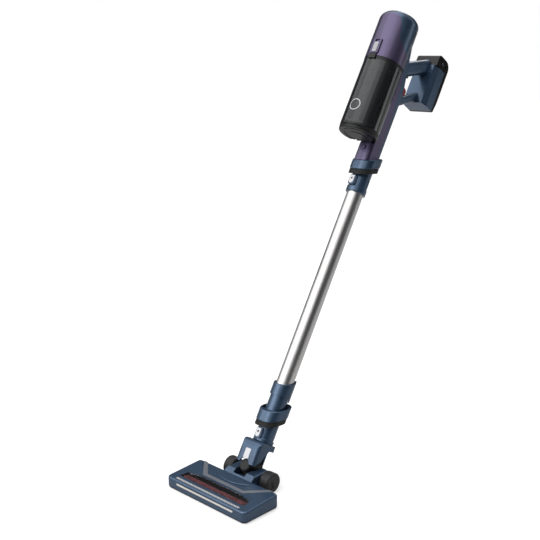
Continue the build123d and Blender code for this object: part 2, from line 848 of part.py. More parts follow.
wand_collar_ring = textured_ring(lower_joint)
save(wand_collar_ring, "wand_collar_ring")

with BuildPart() as wand_end_ring:
    with BuildSketch(across(end_ring_low)):
        Circle(end_ring_radius)
    extrude(amount=collar_depth)
    with BuildSketch(across(end_ring_low - 6.0, (ridge_back + sleeve_radius - 4.0) / 2)):
        RectangleRounded(2 * ridge_half, ridge_back - sleeve_radius + 4.0, 3.0)
    extrude(amount=collar_depth)
    split(bisect_by=slanted(end_ring_top, end_ring_slant), keep=Keep.BOTTOM)
    chamfer(wand_end_ring.faces().sort_by(stick_axis)[-1].edges(), length=0.8)
    with BuildSketch(across(end_ring_low - 7.0)):
        Circle(sleeve_radius)
    extrude(amount=sleeve_top - end_ring_low + 7.0, mode=Mode.SUBTRACT)
    with BuildSketch(across(end_ring_low)):
        Circle(tube_radius)
    extrude(amount=collar_depth, mode=Mode.SUBTRACT)
    with BuildSketch(across(end_ring_top - 12.0)):
        Circle(tube_radius + 1.2)
    extrude(amount=collar_depth, mode=Mode.SUBTRACT)
save(wand_end_ring, "wand_end_ring")

with BuildPart() as wand_upper_sleeve:
    with BuildSketch(across(upper_sleeve_low)):
        Circle(upper_rim_radius)
    extrude(amount=upper_rim_height)
    fillet(wand_upper_sleeve.edges().filter_by(GeomType.CIRCLE), radius=1.4)
    with BuildSketch(across(upper_sleeve_low + 2.0)):
        Circle(upper_sleeve_radius)
    extrude(amount=upper_joint + shoulder_depth - 6.0 - upper_sleeve_low - 2.0)
    with BuildSketch(frontal(wand_pad_front, wand_button_up)):
        RectangleRounded(2 * pad_half, button_height + 4.0, 4.0)
    extrude(amount=wand_pad_front + upper_sleeve_radius - 9.0)
    fillet(wand_upper_sleeve.faces().sort_by(back_axis)[0].edges(), radius=1.2)
    # sunk panels on both sides
    for side in (-1, 1):
        with BuildSketch(along(side * (upper_sleeve_radius + 1.0))):
            with Locations((6.0, wand_button_up + 1.0)):
                RectangleRounded(14.0, button_height + 5.0, 3.0)
        extrude(amount=-side * 3.4, mode=Mode.SUBTRACT)
    with BuildSketch(across(upper_joint + shoulder_depth - 6.0)):
        Circle(plug_radius)
    extrude(amount=plug_length - shoulder_depth + 6.0)
    chamfer(wand_upper_sleeve.faces().sort_by(stick_axis)[-1].edges(), length=0.8)
    with BuildSketch(across(upper_sleeve_low - 1.0)):
        Circle(plug_bore)
    extrude(amount=wand_length, mode=Mode.SUBTRACT)
    with BuildSketch(across(upper_sleeve_low - 1.0)):
        Circle(tube_radius)
    extrude(amount=tube_top - upper_sleeve_low + 1.0, mode=Mode.SUBTRACT)
    with BuildSketch(frontal(wand_pad_front, wand_button_up)):
        with Locations((0, button_half / 2)):
            Rectangle(2 * button_half + 2 * seam, button_height - button_half + 2 * seam)
        with Locations((0, -button_height / 2 + button_half)):
            Circle(button_half + seam)
    extrude(amount=-button_depth - button_travel + button_proud, mode=Mode.SUBTRACT)
save(wand_upper_sleeve, "wand_upper_sleeve")

upper_release_button = release_button(wand_pad_front, wand_button_up)
save(upper_release_button, "upper_release_button")

# ---------------------------------------------------------------------------------------------------------
# Handheld unit: inlet collar, air path up the spine, and the round motor housing above the dust bin
# ---------------------------------------------------------------------------------------------------------
plug_end = upper_joint + plug_length + 4.0
shoulder_end = upper_joint + shoulder_depth - 4.5
inlet_top = upper_joint + ring_height + collar_height
spine_half = 20.5
spine_back = 21.0
spine_corner = 12.0
neck_front = -30.5
cradle_low = bin_bottom - 3.0
cradle_gap = 0.6
duct_half = 17.0
duct_front = -13.0
duct_back = 17.5
spine_slope_low = bin_top - 60.0
spine_slope = 14.9
switch_back = 2.5
inlet_up = bin_bottom + 69.0
inlet_radius = 11.0
motor_radius = 47.2
motor_round = 18.0
motor_low = bin_top + 0.6
housing_wall = 2.5
hump_low = 1020.0 - grip_up
hump_slope = 38.0
track_half = 11.0
track_front = 50.0
track_low = motor_low + 5.0
track_high = track_low + 36.0
slider_half = 6.0
slider_height = 24.0
slider_travel = 7.0
slider_depth = 3.4
slider_up = track_low + 3.0 + slider_height / 2
lug_up = bin_bottom - 14.3
lug_radius = 5.5
lug_front = neck_front - 3.0
lug_back = neck_front + 4.5
lug_travel = 2.0
trigger_up = bin_top - 15.0
trigger_half = 7.5
trigger_opening = 11.0
suction_radius = 30.0
suction_low = motor_low + 19.4
suction_high = suction_low + 60.0
flange_low = suction_low + 15.0
flange_height = 3.0
shaft_radius = 2.0
impeller_radius = 28.0
impeller_low = motor_low + 6.4
impeller_height = 11.0
filter_inner = 33.0
filter_low = suction_high + 7.0
filter_high = motor_top - 13.0

with BuildPart() as inlet_collar:
    with BuildSketch(across(upper_joint - collar_depth)):
        RectangleRounded(collar_width, collar_depth, collar_corner)
    extrude(amount=2 * collar_depth)
    split(bisect_by=slanted(inlet_top, collar_slant), keep=Keep.BOTTOM)
    split(bisect_by=slanted(upper_joint + ring_height, collar_slant), keep=Keep.TOP)
    chamfer(inlet_collar.faces().sort_by(stick_axis)[-1].edges(), length=2.0)
    with BuildSketch(across(upper_joint - collar_depth)):
        Circle(ring_bore)
    extrude(amount=collar_depth + shoulder_end - upper_joint, mode=Mode.SUBTRACT)
    with BuildSketch(across(upper_joint - collar_depth)):
        Circle(plug_radius + sliding)
    extrude(amount=2 * collar_depth, mode=Mode.SUBTRACT)
save(inlet_collar, "inlet_collar")

inlet_collar_ring = textured_ring(upper_joint)
save(inlet_collar_ring, "inlet_collar_ring")

# line in the machine's middle plane where the front and rear mouldings of the housing meet
with BuildSketch() as front_region:
    with BuildLine():
        Polyline(
            (-130.0, lower_joint),
            (-130.0, motor_top),
            (-118.0, motor_top - 6.0),
            (-104.0, motor_top - 16.0),
            (-97.0, motor_top - 34.0),
            (-92.0, motor_top - 66.0),
            (-70.0, motor_top - 87.0),
            (-36.0, motor_top - 97.0),
            (-12.0, motor_top - 114.0),
            (-4.0, motor_top - 146.0),
            (6.0, bin_bottom + 58.0),
            (8.0, lower_joint),
            close=True,
        )
    make_face()
    fillet(front_region.vertices().sort_by(Axis.Y)[2:-2], radius=5.0)

with BuildSketch() as rear_region:
    with Locations((-40.0, upper_joint)):
        Rectangle(240.0, 2 * motor_top)
    add(front_region.sketch, mode=Mode.SUBTRACT)

with BuildPart() as housing_form:
    with BuildSketch(across(upper_joint, (neck_front + spine_back) / 2)):
        RectangleRounded(2 * spine_half, spine_back - neck_front, spine_corner)
    extrude(amount=motor_top - motor_round - 1.0 - upper_joint)
    split(bisect_by=slanted(inlet_top, collar_slant), keep=Keep.TOP)
    split(bisect_by=heading(spine_back, spine_slope_low, spine_slope), keep=Keep.BOTTOM)
    split(bisect_by=heading(spine_back, grip_up + hump_low, hump_slope), keep=Keep.BOTTOM)
    with BuildSketch(across(cradle_low, -bin_forward)):
        Circle(bin_radius + cradle_gap)
    extrude(amount=motor_low - cradle_low, mode=Mode.SUBTRACT)
    with BuildSketch(across(motor_low, -bin_forward)):
        Circle(motor_radius)
    extrude(amount=motor_top - motor_low)
    fillet(housing_form.faces().sort_by(stick_axis)[-1].edges(), radius=motor_round)
    with BuildSketch(frontal(-bin_forward, (track_low + track_high) / 2)):
        RectangleRounded(2 * track_half, track_high - track_low, 3.0)
    extrude(amount=track_front)
    # room for the fan, motor and filter
    with BuildSketch(across(motor_low + housing_wall, -bin_forward)):
        Circle(motor_radius - housing_wall)
    extrude(amount=filter_high - motor_low - housing_wall, mode=Mode.SUBTRACT)
    with BuildSketch(across(filter_high, -bin_forward)):
        Circle(filter_inner)
    extrude(amount=motor_top - housing_wall - filter_high, mode=Mode.SUBTRACT)
    with BuildSketch(across(motor_low - 1.0, -bin_forward)):
        Circle(impeller_radius - 4.0)
    extrude(amount=housing_wall + 2.0, mode=Mode.SUBTRACT)
    # socket for the wand, and the duct that carries its air up to the bin
    with BuildSketch(across(upper_joint)):
        Circle(plug_radius + sliding)
    extrude(amount=plug_end - upper_joint, mode=Mode.SUBTRACT)
    with BuildSketch(across(plug_end)):
        Circle(plug_bore)
    extrude(amount=bin_bottom - 10.0 - plug_end, mode=Mode.SUBTRACT)
    with BuildSketch(across(bin_bottom - 12.0, (duct_front + duct_back) / 2)):
        Rectangle(2 * duct_half, duct_back - duct_front)
    extrude(amount=inlet_up + inlet_radius + 14.0 - bin_bottom, mode=Mode.SUBTRACT)
    with BuildSketch(frontal(duct_front + 1.0, inlet_up)):
        Circle(inlet_radius)
    extrude(amount=12.0, mode=Mode.SUBTRACT)
    # hollow for the switches and wires behind the trigger
    with BuildSketch(across(inlet_up + inlet_radius + 6.0, (duct_front + switch_back) / 2)):
        Rectangle(2 * duct_half, switch_back - duct_front)
    extrude(amount=bin_top - inlet_up - inlet_radius - 6.0, mode=Mode.SUBTRACT)
    with BuildSketch(frontal(spine_back + 1.0, trigger_up)):
        Rectangle(2 * (trigger_half + gap), 2 * (trigger_opening + gap))
    extrude(amount=spine_back - switch_back + 2.0, mode=Mode.SUBTRACT)
    # pockets for the lid button in the neck and for the bin slider in its track
    with BuildSketch(frontal(neck_front - 1.0, lug_up)):
        Circle(lug_radius + gap)
    extrude(amount=-lug_back + neck_front - 1.0 - lug_travel - gap, mode=Mode.SUBTRACT)
    with BuildSketch(frontal(-bin_forward - track_front, slider_up + slider_travel / 2)):
        RectangleRounded(2 * (slider_half + gap), slider_height + slider_travel + 2 * gap, 2.0)
    extrude(amount=motor_radius - track_front, mode=Mode.SUBTRACT)

# slots for the waste air, on both sides of the motor
slot_width = 2.6
slot_height = 30.0
slot_up = motor_top - 42.0
slot_count = 7
slot_step = 8.0
slot_first = 72.0

with BuildPart() as vent_slots:
    for side in (-1, 1):
        for slot in range(slot_count):
            turn = math.radians(slot_first + slot * slot_step) * side
            outwards = Vector(1, 0, 0) * math.sin(turn) - back_dir * math.cos(turn)
            tangent = Vector(1, 0, 0) * math.cos(turn) + back_dir * math.sin(turn)
            with BuildSketch(Plane(origin=on_stick(0, -bin_forward, slot_up), x_dir=tangent, z_dir=outwards)):
                SlotCenterToCenter(slot_height - slot_width, slot_width, rotation=90)
            extrude(amount=motor_radius + 2.0)
    with BuildSketch(across(slot_up - slot_height, -bin_forward)):
        Circle(motor_radius - housing_wall - 1.0)
    extrude(amount=2 * slot_height, mode=Mode.SUBTRACT)

with BuildPart() as front_housing:
    add(housing_form.part)
    with BuildSketch(along()):
        add(front_region.sketch)
    extrude(amount=motor_radius + 2.0, both=True, mode=Mode.INTERSECT)
    add(vent_slots.part, mode=Mode.SUBTRACT)
save(front_housing, "front_housing")

with BuildPart() as rear_housing:
    add(housing_form.part)
    with BuildSketch(along()):
        add(rear_region.sketch)
    extrude(amount=motor_radius + 2.0, both=True, mode=Mode.INTERSECT)
    add(vent_slots.part, mode=Mode.SUBTRACT)
save(rear_housing, "rear_housing")

with BuildPart() as lid_release_button:
    with BuildSketch(frontal(lug_front, lug_up)):
        Circle(lug_radius)
    extrude(amount=lug_front - lug_back)
    fillet(lid_release_button.faces().sort_by(back_axis)[0].edges(), radius=1.5)
save(lid_release_button, "lid_release_button")

with BuildPart() as bin_release_slider:
    with BuildSketch(frontal(-bin_forward - motor_radius - gap - slider_depth, slider_up)):
        RectangleRounded(2 * slider_half, slider_height, 2.0)
    extrude(amount=-slider_depth)
    chamfer(bin_release_slider.faces().sort_by(back_axis)[0].edges(), length=0.6)
    for line in range(5):
        with BuildSketch(frontal(-bin_forward - motor_radius - gap - slider_depth, slider_up - 6.0 + 3.0 * line)):
            Rectangle(2 * slider_half - 3.0, 1.0)
        extrude(amount=-0.5, mode=Mode.SUBTRACT)
save(bin_release_slider, "bin_release_slider")

with BuildPart() as suction_motor:
    with BuildSketch(across(suction_low, -bin_forward)):
        Circle(suction_radius)
    extrude(amount=suction_high - suction_low)
    fillet(suction_motor.faces().sort_by(stick_axis)[-1].edges(), radius=4.0)
    with BuildSketch(across(flange_low, -bin_forward)):
        Circle(motor_radius - housing_wall)
        with PolarLocations((motor_radius - housing_wall + suction_radius) / 2, 12):
            Circle(4.5, mode=Mode.SUBTRACT)
    extrude(amount=flange_height)
    with BuildSketch(across(impeller_low, -bin_forward)):
        Circle(shaft_radius)
    extrude(amount=suction_low - impeller_low)
save(suction_motor, "suction_motor")

blade_count = 9
with BuildPart() as impeller:
    with BuildSketch(across(impeller_low, -bin_forward)):
        Circle(impeller_radius)
        Circle(shaft_radius + running, mode=Mode.SUBTRACT)
    extrude(amount=2.0)
    with BuildSketch(across(impeller_low, -bin_forward)):
        Circle(6.0)
        Circle(shaft_radius + running, mode=Mode.SUBTRACT)
    extrude(amount=impeller_height)
    with BuildSketch(across(impeller_low + 2.0, -bin_forward)):
        with PolarLocations((impeller_radius + 5.0) / 2, blade_count):
            Rectangle(impeller_radius - 6.0, 1.6, rotation=20)
    extrude(amount=impeller_height - 3.0)
save(impeller, "impeller")

with BuildPart() as exhaust_filter:
    with BuildSketch(across(filter_low, -bin_forward)):
        Circle(motor_radius - housing_wall)
        Circle(filter_inner, mode=Mode.SUBTRACT)
    extrude(amount=filter_high - filter_low)
save(exhaust_filter, "exhaust_filter")

# ---------------------------------------------------------------------------------------------------------
# Handle: grip arm and brace around the finger loop, the trigger, and the battery behind them
# ---------------------------------------------------------------------------------------------------------
grip_width = 28.0
grip_depth = 34.5
grip_corner = 11.0
grip_rise = 34.0
brace_width = 22.0
brace_depth = 19.0
brace_corner = 6.0
brace_rise = 38.0
brace_mid_back = 50.0
brace_mid_up = bin_top - 24.4
holder_front = 80.0
holder_back = 122.0
holder_half = 32.0
holder_low = bin_top - 15.0
holder_high = bin_top + 87.0
holder_facet = 6.0
holder_facet_back = holder_front + 17.0
hood_front = 81.2
hood_high = bin_top + 116.0
pack_back = 133.0
pack_front_round = 8.0
pack_rear_round = 20.0
pack_foot = 4.0
pack_foot_height = 24.0
cell_radius = 9.15
cell_length = 65.0
cell_pitch = 18.5
latch_width = 26.0
latch_height = 9.0
latch_depth = 4.0
latch_proud = 1.0
latch_travel = 1.5
latch_up = holder_low + 40.0
socket_radius = 2.75
socket_depth = 8.0
socket_back = 117.0
socket_up = hood_high - 15.0
boost_width = 12.0
boost_length = 8.0
boost_proud = 3.5
boost_depth = 6.0
boost_travel = 1.5
boost_along = -40.0
grip_end = -8.0

# where the boost button leaves the underside of the grip
grip_turn = math.radians(grip_rise)
boost_back = grip_back + boost_along * math.cos(grip_turn) + grip_depth / 2 * math.sin(grip_turn)
boost_up = grip_up + boost_along * math.sin(grip_turn) - grip_depth / 2 * math.cos(grip_turn)
boost_face = heading(boost_back, boost_up, grip_rise - 90.0)

with BuildPart() as handle_grip:
    with BuildSketch(heading(grip_back, grip_up, grip_rise)):
        RectangleRounded(grip_width, grip_depth, grip_corner)
    extrude(amount=80.0, both=True)
    split(bisect_by=frontal(grip_end), keep=Keep.BOTTOM)
    split(bisect_by=frontal(holder_front), keep=Keep.TOP)
    add(housing_form.part, mode=Mode.SUBTRACT)
    with BuildSketch(boost_face.offset(2.0)):
        RectangleRounded(boost_width + 2 * gap, boost_length + 2 * gap, 2.0)
    extrude(amount=-boost_depth + boost_proud - boost_travel - gap - 2.0, mode=Mode.SUBTRACT)
save(handle_grip, "handle_grip")

with BuildPart() as handle_brace:
    with BuildSketch(heading(brace_mid_back, brace_mid_up, brace_rise)):
        RectangleRounded(brace_width, brace_depth, brace_corner)
    extrude(amount=70.0, both=True)
    split(bisect_by=frontal(spine_back - 3.0), keep=Keep.BOTTOM)
    split(bisect_by=frontal(holder_front), keep=Keep.TOP)
    add(housing_form.part, mode=Mode.SUBTRACT)
save(handle_brace, "handle_brace")

with BuildPart() as trigger:
    with BuildSketch(along()):
        with BuildLine():
            Polyline(
                (switch_back - 1.0, trigger_up - 8.5),
                (spine_back - 8.0, trigger_up - 8.5),
                (spine_back + 4.0, trigger_up - 10.0),
                (spine_back + 11.0, trigger_up - 9.0),
                (spine_back + 15.5, trigger_up - 4.5),
                (spine_back + 17.0, trigger_up + 1.0),
                (spine_back + 15.0, trigger_up + 6.5),
                (spine_back + 10.0, trigger_up + 9.5),
                (spine_back - 8.0, trigger_up + 9.5),
                (switch_back - 1.0, trigger_up + 9.5),
                close=True,
            )
        make_face()
    extrude(amount=trigger_half, both=True)
    chamfer(trigger.faces().sort_by(Axis.X)[0].edges(), length=1.0)
    chamfer(trigger.faces().sort_by(Axis.X)[-1].edges(), length=1.0)
    with BuildSketch(frontal(switch_back - gap, trigger_up)):
        Rectangle(2 * (trigger_half + 3.0), 2 * (trigger_opening + 2.0))
    extrude(amount=2.0)
save(trigger, "trigger")

with BuildPart() as boost_button:
    with BuildSketch(boost_face.offset(boost_proud)):
        RectangleRounded(boost_width, boost_length, 2.0)
    extrude(amount=-boost_depth)
    fillet(boost_button.faces().sort_by(stick_axis)[0].edges(), radius=1.0)
save(boost_button, "boost_button")

# plan of the battery holder, open to the back, and of the room inside it
with BuildSketch() as holder_plan:
    with BuildLine():
        Polyline(
            (-holder_half, holder_back),
            (-holder_half, holder_facet_back),
            (-holder_half + holder_facet, holder_front),
            (holder_half - holder_facet, holder_front),
            (holder_half, holder_facet_back),
            (holder_half, holder_back),
            close=True,
        )
    make_face()

with BuildSketch() as holder_room:
    add(holder_plan.sketch)
    offset(amount=-wall)
    with Locations((0, holder_back)):
        Rectangle(2 * (holder_half - wall), 4 * wall)

with BuildPart() as battery_holder:
    with BuildSketch(across(holder_low)):
        add(holder_plan.sketch)
    extrude(amount=holder_high - holder_low)
    with BuildSketch(across(holder_low + wall)):
        add(holder_room.sketch)
    extrude(amount=holder_high - holder_low - 2 * wall, mode=Mode.SUBTRACT)
save(battery_holder, "battery_holder")

with BuildPart() as battery_pack:
    with BuildSketch(along()):
        with BuildLine():
            Polyline(
                (hood_front, holder_high + gap),
                (hood_front, hood_high),
                (pack_back, hood_high),
                (pack_back, holder_low + pack_foot_height),
                (pack_back - pack_foot, holder_low),
                (holder_back + gap, holder_low),
                (holder_back + gap, holder_high + gap),
                close=True,
            )
        make_face()
    extrude(amount=holder_half, both=True)
    top_edges = battery_pack.edges().filter_by(Axis.X).group_by(stick_axis)[-1].sort_by(back_axis)
    fillet(top_edges[0], radius=pack_front_round)
    top_edges = battery_pack.edges().filter_by(Axis.X).group_by(stick_axis)[-1].sort_by(back_axis)
    fillet(top_edges[-1], radius=pack_rear_round)
    with BuildSketch(across(holder_low + wall + sliding)):
        add(holder_room.sketch)
        offset(amount=-sliding)
    extrude(amount=holder_high - holder_low - 2 * wall - 2 * sliding)
    with BuildSketch(across(holder_low + wall + sliding + wall, (holder_front + pack_back) / 2 + 2.0)):
        Rectangle(3 * cell_pitch + 0.4, 2 * cell_pitch + 1.0)
    extrude(amount=cell_length + 14.0, mode=Mode.SUBTRACT)
    with BuildSketch(frontal(pack_back, latch_up)):
        RectangleRounded(latch_width + 2 * gap, latch_height + 2 * gap, 1.5)
    extrude(amount=latch_depth + latch_travel - latch_proud, mode=Mode.SUBTRACT)
    with BuildSketch(along(holder_half)):
        with Locations((socket_back, socket_up)):
            Circle(socket_radius)
    extrude(amount=-socket_depth, mode=Mode.SUBTRACT)
save(battery_pack, "battery_pack")

with BuildPart() as battery_cells:
    for row in (-1, 1):
        for column in (-1, 0, 1):
            with BuildSketch(across(holder_low + 2 * wall + sliding, (holder_front + pack_back) / 2 + 2.0)):
                with Locations((column * cell_pitch, row * cell_pitch / 2)):
                    Circle(cell_radius)
            extrude(amount=cell_length)
save(battery_cells, "battery_cells")

with BuildPart() as battery_latch:
    with BuildSketch(frontal(pack_back + latch_proud, latch_up)):
        RectangleRounded(latch_width, latch_height, 1.5)
    extrude(amount=latch_depth)
    chamfer(battery_latch.faces().sort_by(back_axis)[-1].edges(), length=0.5)
save(battery_latch, "battery_latch")

# ---------------------------------------------------------------------------------------------------------
# Dust bin: clear cup, its rings and lid, and the cyclone and filter inside it
# ---------------------------------------------------------------------------------------------------------
cup_wall = 2.0
top_ring_height = 7.6
base_low = bin_bottom + 2.0
base_high = base_low + 8.0
base_floor = 3.0
lid_high = base_low - 0.8
lid_thick = 4.5
lid_radius = 45.5
lid_round = 2.5
hinge_back = -37.5
hinge_up = lid_high - 2.7
hinge_pin = 1.5
knuckle_radius = 2.6
hinge_half = 19.5
lid_chord = hinge_back - 4.0
catch_half = 9.0
catch_height = 3.9
cone_low = bin_bottom + 39.0
shroud_low = bin_top - 90.0
shroud_high = bin_top - 30.0
shroud_radius = 33.0
shroud_wall = 2.0
disc_height = 3.0
pre_filter_radius = 40.0
pre_filter_height = 12.0

with BuildPart() as dust_bin:
    with BuildSketch(across(base_high, -bin_forward)):
        Circle(bin_radius)
        Circle(bin_radius - cup_wall, mode=Mode.SUBTRACT)
    extrude(amount=bin_top - top_ring_height - base_high)
    with BuildSketch(frontal(0, inlet_up)):
        Circle(inlet_radius + 1.0)
    extrude(amount=bin_forward - shroud_radius, mode=Mode.SUBTRACT)
save(dust_bin, "dust_bin")

with BuildPart() as bin_top_ring:
    with BuildSketch(across(bin_top - top_ring_height, -bin_forward)):
        Circle(bin_radius)
    extrude(amount=top_ring_height)
    with BuildSketch(across(bin_top - top_ring_height, -bin_forward - bin_radius)):
        Rectangle(2 * catch_half, 8.0)
    extrude(amount=top_ring_height + catch_height)
    with BuildSketch(across(bin_top - 0.1, -bin_forward)):
        Circle(motor_radius + gap)
    extrude(amount=catch_height + 1.0, mode=Mode.SUBTRACT)
    with BuildSketch(across(bin_top - top_ring_height - 1.0, -bin_forward)):
        Circle(bin_radius - cup_wall - 3.0)
    extrude(amount=top_ring_height + 2.0, mode=Mode.SUBTRACT)
save(bin_top_ring, "bin_top_ring")

with BuildPart() as bin_base:
    with BuildSketch(across(base_low, -bin_forward)):
        Circle(bin_radius)
    extrude(amount=base_high - base_low)
    chamfer(bin_base.faces().sort_by(stick_axis)[0].edges(), length=4.0, length2=2.0)
    with BuildSketch(across(base_low - 1.0, -bin_forward)):
        Circle(bin_radius - cup_wall - 3.5)
    extrude(amount=base_high - base_low + 2.0, mode=Mode.SUBTRACT)
    with BuildSketch(across(base_low, -bin_forward)):
        with Locations((0, bin_radius)):
            Rectangle(2 * bin_radius, 2 * (bin_radius - bin_forward - lid_chord - 1.0))
        Circle(bin_radius - cup_wall - 3.0, mode=Mode.INTERSECT)
    extrude(amount=base_floor)
    for low, high in ((-hinge_half, -14.5), (-5.5, 5.5), (14.5, hinge_half)):
        with BuildSketch(along(low)):
            with Locations((hinge_back, hinge_up)):
                Circle(knuckle_radius)
            with Locations((hinge_back + 0.4, (hinge_up + base_low + 1.0) / 2)):
                Rectangle(2 * knuckle_radius - 0.8, base_low + 1.0 - hinge_up)
        extrude(amount=high - low)
    with BuildSketch(along()):
        with Locations((hinge_back, hinge_up)):
            Circle(hinge_pin)
    extrude(amount=hinge_half + 1.0, both=True, mode=Mode.SUBTRACT)
save(bin_base, "bin_base")

with BuildPart() as lid_pin:
    with BuildSketch(along()):
        with Locations((hinge_back, hinge_up)):
            Circle(hinge_pin)
    extrude(amount=hinge_half, both=True)
save(lid_pin, "lid_pin")

with BuildPart() as bin_lid:
    with BuildSketch(across(lid_high, -bin_forward)):
        Circle(lid_radius)
    extrude(amount=-lid_thick)
    fillet(bin_lid.faces().sort_by(stick_axis)[0].edges(), radius=lid_round)
    # raised rings and a raised middle on the outside
    with BuildSketch(across(lid_high - lid_thick, -bin_forward)):
        Circle(35.0)
        Circle(32.5, mode=Mode.SUBTRACT)
        Circle(17.0)
    extrude(amount=-0.8)
    with BuildSketch(across(lid_high + 1.0, lid_chord)):
        with Locations((0, bin_radius)):
            Rectangle(4 * bin_radius, 2 * bin_radius)
    extrude(amount=-2 * lid_thick, mode=Mode.SUBTRACT)
    for side in (-1, 1):
        with BuildSketch(along(side * 6.0)):
            with Locations((hinge_back, hinge_up)):
                Circle(knuckle_radius)
            with Locations((hinge_back - 2.2, hinge_up)):
                Rectangle(4.4, 2 * knuckle_radius - 1.0)
        extrude(amount=side * 8.0)
    with BuildSketch(along()):
        with Locations((hinge_back, hinge_up)):
            Circle(hinge_pin + running)
    extrude(amount=hinge_half, both=True, mode=Mode.SUBTRACT)
save(bin_lid, "bin_lid")

with BuildPart() as cyclone_cone:
    with BuildSketch(across(cone_low, -bin_forward)):
        Circle(20.0)
    with BuildSketch(across(shroud_high, -bin_forward)):
        Circle(shroud_radius - shroud_wall)
    loft(ruled=True)
    with BuildSketch(across(cone_low - 0.1, -bin_forward)):
        Circle(18.0)
    with BuildSketch(across(shroud_high + 0.1, -bin_forward)):
        Circle(shroud_radius - 2 * shroud_wall)
    loft(ruled=True, mode=Mode.SUBTRACT)
save(cyclone_cone, "cyclone_cone")

with BuildPart() as cyclone_shroud:
    with BuildSketch(across(shroud_low, -bin_forward)):
        Circle(shroud_radius)
    extrude(amount=shroud_high - shroud_low)
    for rib in range(7):
        with BuildSketch(across(shroud_low + 4.0 + 8.0 * rib, -bin_forward)):
            Circle(shroud_radius + 1.2)
        extrude(amount=2.0)
    with BuildSketch(across(shroud_low - 1.0, -bin_forward)):
        Circle(shroud_radius - shroud_wall)
    extrude(amount=shroud_high - shroud_low + 1.0, mode=Mode.SUBTRACT)
    with BuildSketch(across(shroud_high, -bin_forward)):
        Circle(bin_radius - cup_wall)
        Circle(shroud_radius - 3 * shroud_wall, mode=Mode.SUBTRACT)
    extrude(amount=disc_height)
save(cyclone_shroud, "cyclone_shroud")

with BuildPart() as pre_filter:
    with BuildSketch(across(shroud_high + disc_height, -bin_forward)):
        Circle(pre_filter_radius)
    extrude(amount=pre_filter_height)
    fillet(pre_filter.faces().sort_by(stick_axis)[-1].edges(), radius=2.0)
save(pre_filter, "pre_filter")
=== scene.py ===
import math

import bmesh
import bpy
from mathutils import Matrix, Vector


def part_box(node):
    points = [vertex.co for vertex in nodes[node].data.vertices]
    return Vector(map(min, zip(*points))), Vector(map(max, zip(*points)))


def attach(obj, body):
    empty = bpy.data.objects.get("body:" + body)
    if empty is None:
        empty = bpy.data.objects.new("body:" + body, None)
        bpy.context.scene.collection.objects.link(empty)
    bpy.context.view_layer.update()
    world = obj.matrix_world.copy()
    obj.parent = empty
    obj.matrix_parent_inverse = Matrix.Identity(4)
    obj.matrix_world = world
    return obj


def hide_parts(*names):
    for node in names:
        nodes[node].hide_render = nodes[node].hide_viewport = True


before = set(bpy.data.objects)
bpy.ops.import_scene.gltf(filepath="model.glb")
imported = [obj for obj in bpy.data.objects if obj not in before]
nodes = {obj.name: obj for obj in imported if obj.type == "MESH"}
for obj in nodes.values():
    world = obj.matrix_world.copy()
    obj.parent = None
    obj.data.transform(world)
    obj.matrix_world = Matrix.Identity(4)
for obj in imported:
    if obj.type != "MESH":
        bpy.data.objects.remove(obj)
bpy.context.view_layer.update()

# Floor head shell: a low wedge of blue-grey plastic, moulded in one piece with the hub at its back. Its
# colour is in the plastic, with fine metal flecks, and it clips over the sole plate.
LEAN = math.radians(30.7)
UP_STICK = Vector((0, math.sin(LEAN), math.cos(LEAN)))
BACK = Vector((0, math.cos(LEAN), -math.sin(LEAN)))
RIGHT = Vector((1, 0, 0))
MM = 0.001
GRIP_BACK, GRIP_UP = 48.0, 1024.0
WHEEL_RADIUS = 22.0
AXLE = -(BACK * GRIP_BACK + UP_STICK * GRIP_UP) * MM
FLOOR = AXLE.z - WHEEL_RADIUS * MM


class Wire:
    """One output in a finish's node tree. Arithmetic on it adds Math nodes."""

    def __init__(self, finish, socket):
        self.finish = finish
        self.socket = socket

    def maths(self, operation, *values):
        inputs = {place: value for place, value in enumerate(values)}
        return self.finish.node("ShaderNodeMath", {"operation": operation}, inputs)

    def __add__(self, other):
        return self.maths("ADD", self, other)

    def __radd__(self, other):
        return self.maths("ADD", other, self)

    def __sub__(self, other):
        return self.maths("SUBTRACT", self, other)

    def __rsub__(self, other):
        return self.maths("SUBTRACT", other, self)

    def __mul__(self, other):
        return self.maths("MULTIPLY", self, other)

    def __rmul__(self, other):
        return self.maths("MULTIPLY", other, self)

    def sine(self):
        return self.maths("SINE", self)

    def clear_of(self, low, high):
        """0 below low, 1 above high, and smooth between."""
        settings = {"interpolation_type": "SMOOTHSTEP", "clamp": True}
        inputs = {"Value": self, "From Min": low, "From Max": high}
        return self.finish.node("ShaderNodeMapRange", settings, inputs)


